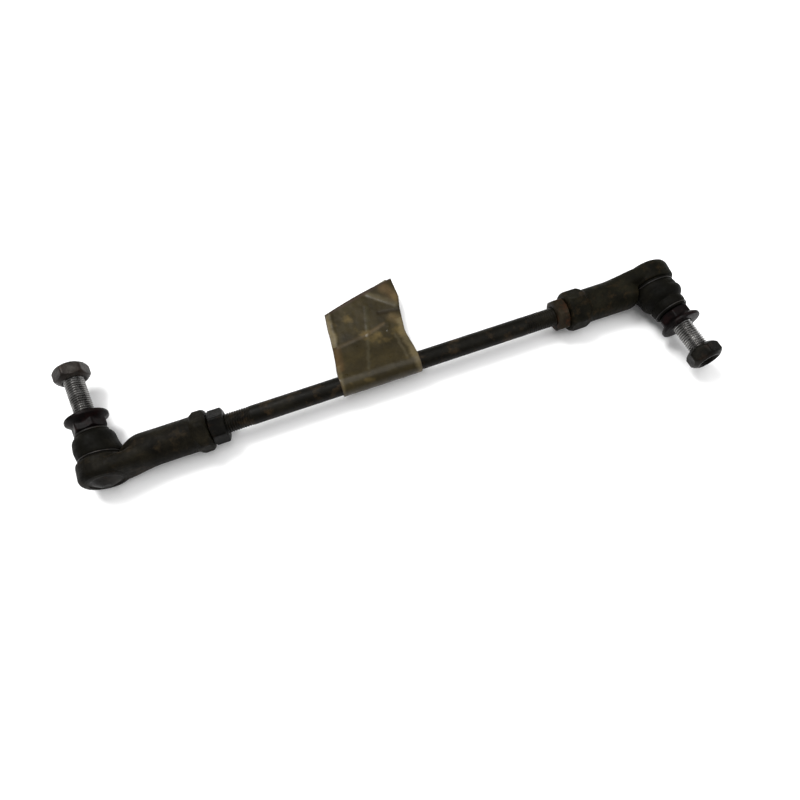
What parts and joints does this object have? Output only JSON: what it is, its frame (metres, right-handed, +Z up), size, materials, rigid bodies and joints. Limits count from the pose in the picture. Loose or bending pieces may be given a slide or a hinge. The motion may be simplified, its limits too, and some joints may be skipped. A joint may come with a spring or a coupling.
{
  "type": "adjustable tie rod with ball joint ends",
  "caption": "Short adjustable tie rod: a threaded rod with an angled ball joint at each end, studs facing opposite ways, rubber boots, nuts and a taped label.",
  "frame": {"origin": "on the surface the tie rod lies on, under the middle of the rod", "axes": "+X along the rod from the left end to the right, +Y the way the left ball stud points, +Z up"},
  "size_m": [0.3933, 0.13, 0.0323],
  "materials": {
    "forged_steel": "dull dark forged steel with a thin phosphate coat, oily dirt and faint rust",
    "cover_steel": "pressed steel disc, dark and dirty",
    "rod_steel": "drawn bar, dark and stained, with light scuffs",
    "lock_nut_steel": "hex nut with brown surface rust",
    "flange_nut_steel": "flange nut, dark with reddish rust on the flange",
    "end_nut_steel": "hex nut, dull zinc gone brown",
    "zinc_stud": "bright zinc-plated stud with rolled thread",
    "boot_rubber": "matt black rubber bellows, dusty",
    "ring_wire": "spring wire ring",
    "seat_plastic": "natural acetal seat",
    "spring_steel": "dished spring washer",
    "clear_tape": "glossy brown parcel tape over paper",
    "label_paper": "grey-olive paper under the tape"
  },
  "bodies": {
    "rod": {"tie_rod": "rod_steel", "label_tape": "clear_tape", "label_paper": "label_paper"},
    "left_lock_nut_body": {"left_lock_nut": "lock_nut_steel"},
    "left_end": {"left_socket": "forged_steel", "left_cover_plate": "cover_steel", "left_upper_seat": "seat_plastic", "left_lower_seat": "seat_plastic", "left_preload_ring": "spring_steel", "left_boot_base_ring": "ring_wire"},
    "left_boot_body": {"left_boot": "boot_rubber"},
    "left_boot_neck": {"left_boot_neck_ring": "ring_wire"},
    "left_stud": {"left_ball_stud": "zinc_stud"},
    "left_flange_nut_body": {"left_flange_nut": "flange_nut_steel"},
    "left_end_nut_body": {"left_end_nut": "end_nut_steel"},
    "right_lock_nut_body": {"right_lock_nut": "lock_nut_steel"},
    "right_end": {"right_socket": "forged_steel", "right_cover_plate": "cover_steel", "right_upper_seat": "seat_plastic", "right_lower_seat": "seat_plastic", "right_preload_ring": "spring_steel", "right_boot_base_ring": "ring_wire"},
    "right_boot_body": {"right_boot": "boot_rubber"},
    "right_boot_neck": {"right_boot_neck_ring": "ring_wire"},
    "right_stud": {"right_ball_stud": "zinc_stud"},
    "right_flange_nut_body": {"right_flange_nut": "flange_nut_steel"},
    "right_end_nut_body": {"right_end_nut": "end_nut_steel"}
  },
  "joints": [
    {"name": "left_end_travel", "type": "slide", "parent": "rod", "child": "left_lock_nut_body", "axis": [1, 0, 0], "range_m": [-0.00451, 0.00451]},
    {"name": "left_end_turn", "type": "hinge", "parent": "left_lock_nut_body", "child": "left_end", "pos_m": [0, 0, 0.015], "axis": [1, 0, 0], "range_deg": [-1080, 1080]},
    {"name": "left_stud_swing", "type": "hinge", "parent": "left_end", "child": "left_boot_body", "pos_m": [-0.18, -0.004, 0.015], "axis": [0, 0, 1], "range_deg": [-20.1, 9.9], "deforming": ["left_boot"]},
    {"name": "left_stud_tilt", "type": "hinge", "parent": "left_boot_body", "child": "left_boot_neck", "pos_m": [-0.18, -0.004, 0.015], "axis": [0.996, 0.0889, 0], "range_deg": [-20.5, 9.5]},
    {"name": "left_stud_spin", "type": "hinge", "parent": "left_boot_neck", "child": "left_stud", "pos_m": [-0.18, -0.004, 0.015], "axis": [-0.0885, 0.9915, 0.0958], "continuous": true},
    {"name": "left_flange_nut_run", "type": "slide", "parent": "left_stud", "child": "left_flange_nut_body", "axis": [-0.0885, 0.9915, 0.0958], "range_m": [0, 0.012]},
    {"name": "left_end_nut_run", "type": "slide", "parent": "left_stud", "child": "left_end_nut_body", "axis": [-0.0885, 0.9915, 0.0958], "range_m": [-0.012, 0.0015]},
    {"name": "right_end_travel", "type": "slide", "parent": "rod", "child": "right_lock_nut_body", "axis": [1, 0, 0], "range_m": [-0.00451, 0.00451]},
    {"name": "right_end_turn", "type": "hinge", "parent": "right_lock_nut_body", "child": "right_end", "pos_m": [0, 0, 0.015], "axis": [1, 0, 0], "range_deg": [-1080.5, 1080.5]},
    {"name": "right_stud_swing", "type": "hinge", "parent": "right_end", "child": "right_boot_body", "pos_m": [0.18, 0.004, 0.015], "axis": [0, 0, 1], "range_deg": [-20.9, 9.1], "deforming": ["right_boot"]},
    {"name": "right_stud_tilt", "type": "hinge", "parent": "right_boot_body", "child": "right_boot_neck", "pos_m": [0.18, 0.004, 0.015], "axis": [-0.9947, -0.1028, 0], "range_deg": [-17.5, 12.5]},
    {"name": "right_stud_spin", "type": "hinge", "parent": "right_boot_neck", "child": "right_stud", "pos_m": [0.18, 0.004, 0.015], "axis": [0.1027, -0.9938, 0.0436], "continuous": true},
    {"name": "right_flange_nut_run", "type": "slide", "parent": "right_stud", "child": "right_flange_nut_body", "axis": [0.1027, -0.9938, 0.0436], "range_m": [0, 0.008]},
    {"name": "right_end_nut_run", "type": "slide", "parent": "right_stud", "child": "right_end_nut_body", "axis": [0.1027, -0.9938, 0.0436], "range_m": [-0.006, 0.004]}
  ],
  "couplings": [
    {"joint": "left_end_travel", "follows": "left_end_turn", "m_per_rad": -0.00023873},
    {"joint": "right_end_travel", "follows": "left_end_turn", "m_per_rad": 0.00023873},
    {"joint": "right_end_turn", "follows": "left_end_turn", "ratio": 1}
  ]
}
